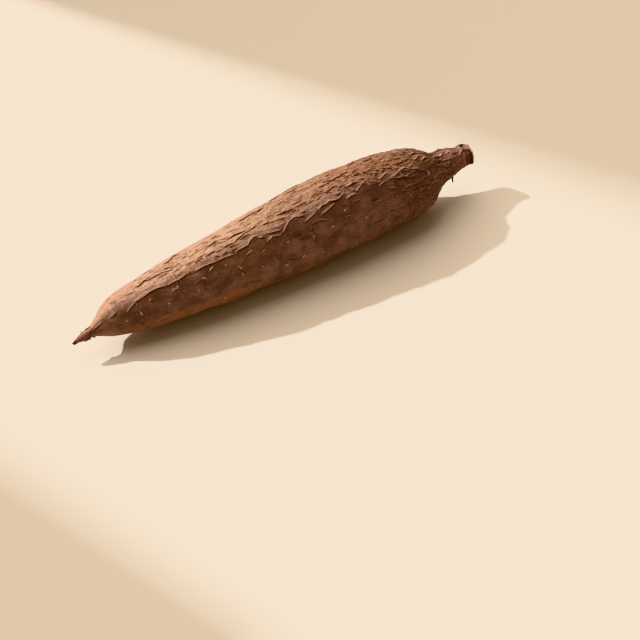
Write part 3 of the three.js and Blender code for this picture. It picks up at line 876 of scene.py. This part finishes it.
def make_flakes(bark, material):
    """Small loose flakes of bark, most of them at the shoulder, each held along one side."""
    draw = np.random.default_rng(SEED + 32)
    pieces = Pieces()
    shift = np.linspace(-0.5, 0.5, 7)[None, :]
    across = np.array([0.0, 0.5, 1.0])[:, None]
    while len(pieces.points) < FLAKES:
        shoulder = draw.uniform() < 0.64
        place = draw.normal(FLAKES_MIDDLE, FLAKES_SPREAD) if shoulder else draw.uniform(28, 300)
        angle = draw.uniform(0, TURN)
        if not FLAKES_FIRST < place < FLAKES_LAST:
            continue
        if draw.uniform() > 0.15 + bark.splits_allowed(min(place, FLAKES_STEADY), angle):
            continue
        length, width = draw.uniform(1.2, 4.2), draw.uniform(0.4, 1.2)
        lift = draw.uniform(0.12, 0.42) * (1.4 if shoulder else 1.0)
        turned = draw.normal(0, 0.5 if shoulder else 0.15)
        cos, sin = math.cos(turned), math.sin(turned)
        outline = np.sqrt(np.maximum(1 - (2 * shift) ** 2, 0.02)) * (1 + draw.normal(0, 0.15, (1, 7)))
        dx = shift * length * cos - (across - 0.5) * width * sin
        dy = shift * length * sin + (across * outline - 0.5) * width * cos
        along, spot = place + dx, angle + dy / radius_at(place / LENGTH)
        height = 0.6 * bark.relief(along, spot) + 0.4 * float(bark.relief(np.array(place), np.array(angle)))
        base = radius_at(along / LENGTH) + height - 0.15
        sheet = surface_point(along / LENGTH, spot, base + (lift + 0.15) * across**1.5 * outline)
        tone = bark.tone(place, angle)
        # Painted highlight on each flake's free edge, weaker on the front.
        light = (0.1 + 0.65 * across) * (1 - 0.3 * tone["front"])
        pieces.add_shell(sheet, 0.14, edge=light, share=along / LENGTH, **tone)
    pieces.build("bark_flakes", material)


def make_slivers(bark, material):
    """Slivers of pale inner bark, and the thin welts of the wrinkles across the root."""
    draw = np.random.default_rng(SEED + 35)
    pieces = Pieces()
    lengthwise, sideways = np.linspace(-1, 1, 11)[None, :], np.linspace(-1, 1, 5)[:, None]
    for place, degrees, half, width, turned in PALE_SPOTS:
        ragged = 1 + draw.normal(0, 0.16, (1, 11))
        across = sideways * width * np.sqrt(np.maximum(1 - lengthwise**2, 0.03)) * ragged
        along = lengthwise * half
        cos, sin = math.cos(math.radians(turned)), math.sin(math.radians(turned))
        where = place + along * cos - across * sin
        girth = radius_at(where / LENGTH)
        angle = math.radians(degrees) + (along * sin + across * cos) / girth
        lift = 0.34 * (1 - sideways**2) * (1 - lengthwise**4) - 0.14
        sheet = bark.place(where, angle, lift)
        pieces.add_shell(sheet, 0.1, pale=1 - 0.5 * lengthwise**4, share=where / LENGTH)
    around, sideways = np.linspace(0, 1, 14)[:, None], np.linspace(-1, 1, 5)[None, :]
    taper = np.sin(math.pi * np.linspace(0.04, 0.96, 14))[:, None] ** 0.6
    for place, first, last, rise in WRINKLES:
        girth = radius_at(place / LENGTH)
        start = math.radians(first)
        while start < math.radians(last):
            run = draw.uniform(2.0, 7.0) / girth
            angle = start + around * run
            course = bark.wrinkle_course(place)[0][(angle / bark.step).astype(int) % AROUND]
            where = place + course + sideways * 0.38 * taper
            welt = bark.place(where, angle, rise * 1.3 * taper * (1 - sideways**2) - 0.13)
            # Painted highlight along the top of each welt.
            light = 0.75 * taper * (1 - 0.6 * sideways**2)
            pieces.add_shell(welt, 0.1, edge=light, share=where / LENGTH, **bark.tone(place, start))
            start += run + draw.uniform(0.2, 2.4) / girth
    pieces.build("pale_slivers", material)


def make_flaps(bark, material):
    """Bark peeled back from the stalk's end. Long flaps curl back along the neck, and short ones flare."""
    draw = np.random.default_rng(SEED + 33)
    pieces = Pieces()
    out = np.linspace(0, 1, 14)[None, :]
    across = np.linspace(-0.5, 0.5, 13)[:, None]
    for degrees, width, rise, length, rim, dark_from in FLAPS:
        reach = out * (1 + 0.13 * np.interp(across, np.linspace(-0.5, 0.5, 7), draw.normal(0, 1, 7)))
        narrow = 1 - 0.5 * out**1.5
        angle = math.radians(degrees) + across * width * narrow / 7.0 + 0.06 * out * draw.normal()
        along = LENGTH + 0.4 - length * reach
        if length > LONG_FLAP:
            curled = 0.65 + 0.35 * np.sin(np.minimum(reach * 1.7, 1) * math.pi / 2)
            stand = (rise + 0.4) * curled - 0.5 * rise * reach**2
        else:
            stand = (rise + 0.4) * (1 - 0.85 * smooth(0.12, 1.0, reach))
        droop = 0.3 * rise * smooth(0.55, 1.1, reach) + 0.3 * rise * (2 * across) ** 2 * out
        lump = 0.12 * np.sin(11 * across + 6 * out + degrees)
        share = np.minimum(along / LENGTH, 1.0)
        radius = radius_at(share) + bark.relief(np.minimum(along, LENGTH), angle)
        sheet = surface_point(share, angle, radius + stand - droop + lump - 0.4)
        sheet[..., 0] += (along - share * LENGTH) * MM
        # Painted shade over the dark outer bark from dark_from on, covering almost all of the lower, near
        # flaps; a painted highlight near the rim; and pale inner bark at the rim, paler on the sunward flaps
        # as a painted highlight.
        dark = 0.85 * smooth(dark_from, dark_from + 0.2, out)
        light = 0.8 - 0.6 * smooth(0.1, 0.6, out)
        pale = rim * (1 - smooth(0.08, 0.3, out))
        pieces.add_shell(sheet, 0.4, edge=light, pale=pale, crack=dark, share=0.95)
    pieces.build("torn_collar", material)


def make_threads(bark, material):
    """Broken feeder roots and knots, and fine hair roots."""
    draw = np.random.default_rng(SEED + 34)
    pieces = Pieces()
    ahead = np.array([1.0, 0.0, 0.0])
    turn = np.arange(10) * TURN / 10
    for share, degrees, length, thickness, lean in THREADS:
        angle = math.radians(degrees)
        start = bark.place(np.array(share * LENGTH), np.array(angle), -1.2)
        out = np.array([math.sin(math.radians(lean)), math.cos(angle), math.sin(angle)])
        t = np.linspace(0, 1, 16)[:, None]
        bend = 0.25 * np.sin(2.5 * t) * np.cross(out, ahead) + 0.1 * np.sin(7 * t) * ahead
        path = start + (out * t * (length + 1.2) + bend * length * 0.5) * MM
        bumpy = 1 + 0.12 * np.sin(3 * turn + 5 * t) + 0.1 * draw.normal(0, 1, (16, 10))
        taper = 1 + 0.9 * (1 - smooth(0.0, 0.45, t)) - 0.35 * smooth(0.3, 1.0, t)
        pieces.add_stem(path, thickness / 2 * taper * bumpy, 10, crack=0.55 + 0.3 * t, share=share)
    for _ in range(HAIR_ROOTS):
        place = draw.choice([draw.uniform(240, 308), draw.uniform(34, 300)])
        angle = draw.uniform(0, TURN)
        row, column = int(np.searchsorted(bark.along, place)), int(angle / bark.step) % AROUND
        if bark.calm[row, column] > 0.5:
            continue
        length = draw.uniform(1.5, 5.0)
        t = np.linspace(0, 1, 9)
        along = place + length * t * draw.choice([-1, 1])
        swing = draw.normal(0, 0.06) * t + draw.normal(0, 0.03) * np.sin(4 * t)
        lift = -0.1 + draw.uniform(0.1, 0.8) * t**2
        path = bark.place(along, angle + swing, lift)
        radii = (draw.uniform(0.07, 0.13) * (1.1 - t))[:, None]
        pieces.add_stem(path, radii, 6, edge=0.5, share=place / LENGTH)
    pieces.build("feeder_roots", material)


def make_wood(bark, material):
    """The cut face of the stalk: dished wood with rays, a soft pith and a raised ring of inner bark."""
    turn = np.arange(CUT_SIDES) * TURN / CUT_SIDES
    r = np.concatenate([[0.0, 0.86], np.linspace(0.97, 0.03, 34)])[:, None]
    sunk = np.concatenate([[-2.5, -2.5], np.zeros(34)])[:, None]
    rim = radius_at(1.0) + bark.relief(np.full(CUT_SIDES, LENGTH), turn)
    rays = 0.16 * np.sin(26 * turn + 3 * np.sin(5 * r)) * smooth(0.2, 0.5, r)
    rays = rays + 0.1 * np.sin(61 * turn + 7 * r) * smooth(0.3, 0.7, r)
    saw = 0.16 * np.sin(16 * r * np.cos(turn - 0.7)) + 0.1 * np.sin(31 * r * np.cos(turn - 0.6) + 1)
    dish = -1.3 * (1 - r * r) + 0.35 * hump(r, 0.82, 0.07) - 0.5 * hump(r, 0.0, 0.16)
    face = np.where(sunk < 0, 0.0, dish + rays + saw)
    rings = surface_point(np.full(CUT_SIDES, 1.0), turn, rim * r)
    rings[..., 0] += (sunk + face + 0.25) * MM
    pieces = Pieces()
    pieces.add_rings(rings, edge=r, crack=0.5 * smooth(0.9, 0.98, r), share=1.0)
    pieces.build("stalk_wood", material)


class Nodes:
    """Adds shader nodes to a material, with links given as inputs. A colour is a link or three numbers."""

    def __init__(self, name):
        self.material = bpy.data.materials.new(name)
        self.material.use_nodes = True
        self.tree = self.material.node_tree
        self.shader = self.tree.nodes["Principled BSDF"]

    def put(self, socket, value):
        """Links a socket to another, or sets its value."""
        if isinstance(value, bpy.types.NodeSocket):
            self.tree.links.new(value, socket)
        elif socket.type == "RGBA":
            socket.default_value = (*value, 1)
        else:
            socket.default_value = value

    def add(self, kind, output=0, inputs=(), **settings):
        """A node of one kind, with its inputs by place or name, and one of its outputs."""
        node = self.tree.nodes.new(kind)
        for name, value in settings.items():
            setattr(node, name, value)
        for name, value in dict(inputs).items():
            self.put(node.inputs[name], value)
        return node.outputs[output]

    def finish(self, colour, roughness, specular):
        """Sets the surface's colour, roughness and gloss."""
        self.put(self.shader.inputs["Base Color"], colour)
        self.put(self.shader.inputs["Roughness"], roughness)
        self.shader.inputs["Specular IOR Level"].default_value = specular
        return self.material

    def field(self, name):
        """A number that the mesh keeps for each vertex."""
        return self.add("ShaderNodeAttribute", "Fac", attribute_name=name)

    def noise(self, place, scale, detail, roughness, distortion=0.0):
        """Noise from 0 to 1."""
        inputs = {"Vector": place, "Scale": scale, "Detail": detail}
        inputs.update({"Roughness": roughness, "Distortion": distortion})
        return self.add("ShaderNodeTexNoise", "Fac", inputs)

    def ramp(self, value, low, high, to_low=0.0, to_high=1.0):
        """value taken smoothly from the range low..high to the range to_low..to_high."""
        inputs = {"Value": value, "From Min": low, "From Max": high, "To Min": to_low, "To Max": to_high}
        return self.add("ShaderNodeMapRange", "Result", inputs, interpolation_type="SMOOTHSTEP")

    def mix_number(self, share, first, second):
        """One number mixed into another."""
        return self.add("ShaderNodeMix", 0, {0: share, 2: first, 3: second})

    def mix(self, share, first, second):
        """One colour mixed into another."""
        inputs = {"Factor": share, "A": first, "B": second}
        return self.add("ShaderNodeMix", "Result", inputs, data_type="RGBA")

    def layers(self, colour, rows):
        """Colours laid over one. Each row has a number, its range, how strong the layer is at both ends of
        that range, and the layer's colour."""
        for value, reach, strength, layer in rows:
            colour = self.mix(self.ramp(value, *reach, *strength), colour, layer)
        return colour

    def stretched(self, scale):
        """Places in the object's own space in metres, scaled along each axis."""
        place = self.add("ShaderNodeTexCoord", "Object")
        return self.add("ShaderNodeMapping", 0, {"Vector": place, "Scale": scale})

    def bump(self, height, distance, strength, normal=None):
        """The surface's direction with a height that tilts it, on top of another bump if one is given."""
        inputs = {"Height": height, "Distance": distance, "Strength": strength}
        if normal is not None:
            inputs["Normal"] = normal
        return self.add("ShaderNodeBump", 0, inputs)


def bark_material():
    """Dry cork: brown, paler where dusty and where sunlight is painted on, darker and smoother on the front
    with painted shade, with dark splits, painted shade in hollows and painted highlights on edges.
    """
    n = Nodes("bark")
    grain = n.stretched((0.3, 1.0, 1.0))
    even = n.stretched((1.0, 1.0, 1.0))
    cloud = n.noise(n.stretched((0.6, 1.0, 1.0)), 45, 4, 0.6)
    streak = n.noise(grain, 420, 5, 0.7)
    fine = n.noise(grain, 1300, 4, 0.75)
    grit = n.noise(even, 850, 3, 0.75)
    mottle = n.noise(even, 110, 5, 0.62)
    stain = n.noise(n.stretched((0.7, 1.0, 1.0)), 62, 4, 0.55, 0.6)
    fleck = n.noise(n.stretched((0.55, 1.0, 1.0)), 270, 5, 0.72, 0.4)
    front = n.ramp(n.field("front"), 0.1, 0.9)
    calm = n.ramp(n.field("calm"), 0.1, 0.9)
    share = n.field("share")
    whole = (0.0, 1.0)

    def streaked(dark, light):
        """A colour that runs from dark to light with the streaks."""
        return n.layers(dark, [(streak, (0.34, 0.66), whole, light)])

    pink = streaked((0.50, 0.285, 0.195), (0.80, 0.49, 0.365))
    ochre = streaked((0.54, 0.315, 0.200), (0.86, 0.555, 0.385))
    tan = n.layers(streaked((0.31, 0.150, 0.094), (0.66, 0.360, 0.232)), [
        (cloud, (0.40, 0.68), (0.0, 0.5), (0.46, 0.210, 0.118)),
        # Pink and ochre on top of the thin half: dusty bark, with painted sunlight in its paleness.
        (n.field("dust_and_painted_sunlight"), whole, (0.0, 0.85), n.layers(pink, [(share, (0.1, 0.3), whole, ochre)])),
        (n.field("deep"), whole, (0.0, 0.9), streaked((0.155, 0.073, 0.048), (0.36, 0.185, 0.120))),
        (share, (0.3, 0.52), (0.0, 0.34), (0.27, 0.135, 0.088)),
        # Darker purplish brown along the upper edge of the front: the bark's tone with painted half-shade.
        (n.field("mauve_and_painted_half_shade"), whole, (0.0, 0.7), streaked((0.25, 0.137, 0.115), (0.52, 0.310, 0.255))),
    ])
    # The front's colour: the smooth bark's own darker tone with painted shade, darker again towards the
    # tail, and towards the shoulder with more painted shade.
    skin = n.layers((0.122, 0.062, 0.052), [
        (mottle, (0.32, 0.68), whole, (0.285, 0.162, 0.142)),
        (cloud, (0.45, 0.7), (0.0, 0.6), (0.215, 0.108, 0.080)),
        (stain, (0.36, 0.5), (0.55, 0.0), (0.085, 0.040, 0.034)),
        (stain, (0.54, 0.68), (0.0, 0.45), (0.300, 0.170, 0.130)),
        # Painted bounce light: an orange glow low on the front of the thin half.
        (n.field("painted_bounce_light"), whole, (0.0, 0.6), (0.38, 0.180, 0.108)),
        (share, (0.5, 0.8), (0.0, 0.25), (0.130, 0.068, 0.070)),
        (share, (0.1, 0.25), (0.35, 0.0), (0.11, 0.045, 0.028)),
        (streak, (0.6, 0.72), (0.0, 0.2), (0.42, 0.25, 0.20)),
        (fleck, (0.34, 0.48), (0.5, 0.0), (0.070, 0.034, 0.028)),
        (fleck, (0.54, 0.68), (0.0, 0.4), (0.360, 0.215, 0.175)),
    ])
    neck = n.mix(n.ramp(streak, 0.35, 0.65), (0.19, 0.098, 0.090), (0.42, 0.235, 0.200))
    # Painted highlight: a pale colour on raised lips, welts and edges where the sun catches them, greyer on
    # the front.
    painted_highlight = n.mix(front, (0.72, 0.48, 0.36), (0.50, 0.325, 0.27))
    colour = n.layers(n.mix(front, tan, skin), [
        (fine, (0.34, 0.48), (0.5, 0.0), (0.17, 0.086, 0.062)),
        (grit, (0.34, 0.48), (0.4, 0.0), (0.18, 0.092, 0.066)),
        (grit, (0.56, 0.68), (0.0, n.ramp(calm, 0.0, 1.0, 0.45, 0.2)), (0.72, 0.46, 0.32)),
        (share, (0.78, 0.93), (0.0, 0.75), neck),
        (n.field("edge"), (0.15, 0.9), (0.0, 0.85), painted_highlight),
        # Dark knots, tips and feeder roots in their own colour, and painted shade in splits, grooves, dips,
        # creases and hollows.
        (n.field("crack"), (0.05, 0.8), (0.0, 0.95), (0.050, 0.022, 0.014)),
    ])
    colour = n.mix(n.field("pale"), colour, (0.84, 0.62, 0.50))
    low = n.bump(streak, 0.0014, n.ramp(calm, 0.0, 1.0, 0.9, 0.3))
    middle = n.bump(grit, 0.0014, n.ramp(calm, 0.0, 1.0, 0.9, 0.25), low)
    n.put(n.shader.inputs["Normal"], n.bump(fine, 0.0008, n.ramp(calm, 0.0, 1.0, 0.8, 0.4), middle))
    return n.finish(colour, n.mix_number(calm, n.ramp(streak, 0.3, 0.7, 0.7, 0.92), 0.56), 0.32)


def wood_material():
    """Dry cut wood: straw rays round a pale pith, browner towards the bark."""
    n = Nodes("stalk wood")
    rays = n.noise(n.stretched((0.4, 1.0, 1.0)), 900, 4, 0.6)
    edge = n.field("edge")
    colour = n.layers((0.30, 0.17, 0.085), [
        (rays, (0.35, 0.65), (0.0, 1.0), (0.55, 0.38, 0.22)),
        (edge, (0.72, 0.95), (0.0, 1.0), (0.20, 0.085, 0.045)),
        (edge, (0.1, 0.24), (1.0, 0.0), (0.62, 0.50, 0.36)),
    ])
    n.put(n.shader.inputs["Normal"], n.bump(rays, 0.0004, 0.6))
    return n.finish(colour, n.ramp(rays, 0.3, 0.7, 0.7, 0.9), 0.3)


def make_floor():
    """A wide plain floor of cream paper, at the height that the root lies on."""
    wide = 4.0
    outline = [(-wide, -wide, 0), (wide, -wide, 0), (wide, wide, 0), (-wide, wide, 0)]
    paper = Nodes("floor").finish(FLOOR_COLOUR, 0.9, 0.1)
    mesh_object("floor", np.array(outline, float), [(0, 1, 2, 3)], paper)


def make_window():
    """Dark walls beside the window, so that the sunlight falls in a band as it does in the photograph."""
    wall = Nodes("wall").finish(WALL_COLOUR, 1.0, 0.5)
    sun = Vector(SUN).normalized()
    for number, (first, last, far, away) in enumerate(WINDOW_EDGES):
        ends = [Vector((*place, 0)) + sun * off for place, off in zip((first, last), far)]
        run = (ends[1] - ends[0]) * 0.6
        out = Vector((*away, 0)).normalized() * WALL_WIDTH
        outline = [ends[0] - run, ends[1] + run, ends[1] + run + out, ends[0] - run + out]
        points = np.array([list(place) for place in outline]) * MM
        mesh_object("wall_%d" % number, points, [(0, 1, 2, 3)], wall)


def make_lights():
    """The sun through the window, the soft sky round it, and a faint room."""
    for name, towards, width, strength, colour in LIGHTS:
        light = bpy.data.lights.new(name, "SUN")
        light.angle = math.radians(width)
        light.energy = strength
        light.color = colour
        obj = bpy.data.objects.new(name, light)
        obj.rotation_euler = Vector(towards).to_track_quat("Z", "Y").to_euler()
        bpy.context.scene.collection.objects.link(obj)
    world = bpy.data.worlds.new("room")
    world.use_nodes = True
    background = world.node_tree.nodes["Background"]
    background.inputs["Color"].default_value = (*ROOM_COLOUR, 1)
    background.inputs["Strength"].default_value = ROOM_STRENGTH
    bpy.context.scene.world = world


def make_camera():
    """The photograph's viewpoint."""
    azimuth, elevation = math.radians(CAMERA_AZIMUTH), math.radians(CAMERA_ELEVATION)
    level = math.cos(elevation)
    back = Vector((math.sin(azimuth) * level, -math.cos(azimuth) * level, math.sin(elevation)))
    camera = bpy.data.objects.new("camera", bpy.data.cameras.new("camera"))
    camera.data.lens = CAMERA_LENS
    camera.location = (Vector(CAMERA_AIM) + back * CAMERA_DISTANCE) * MM
    camera.rotation_euler = back.to_track_quat("Z", "Y").to_euler()
    bpy.context.scene.collection.objects.link(camera)
    bpy.context.scene.camera = camera


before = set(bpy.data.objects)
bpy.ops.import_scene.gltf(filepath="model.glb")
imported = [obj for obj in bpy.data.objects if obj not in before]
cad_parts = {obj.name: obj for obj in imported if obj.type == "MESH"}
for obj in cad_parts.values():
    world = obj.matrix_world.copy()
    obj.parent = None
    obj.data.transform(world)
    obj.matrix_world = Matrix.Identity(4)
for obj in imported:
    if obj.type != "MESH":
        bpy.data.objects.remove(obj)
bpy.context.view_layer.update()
tail_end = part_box("cassava_root")[0].x / MM

edges = SHEET_EDGES + scattered_edges()
bark = Bark()
bark.grow(edges)
cork = bark_material()
body = make_body(bark, cork)
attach(body, "root")
make_lips(bark, edges, cork)
make_flakes(bark, cork)
make_slivers(bark, cork)
make_flaps(bark, cork)
make_threads(bark, cork)
make_wood(bark, wood_material())
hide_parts("cassava_root")

make_floor()
make_window()
make_lights()
make_camera()
bpy.context.scene.view_settings.view_transform = "Khronos PBR Neutral"
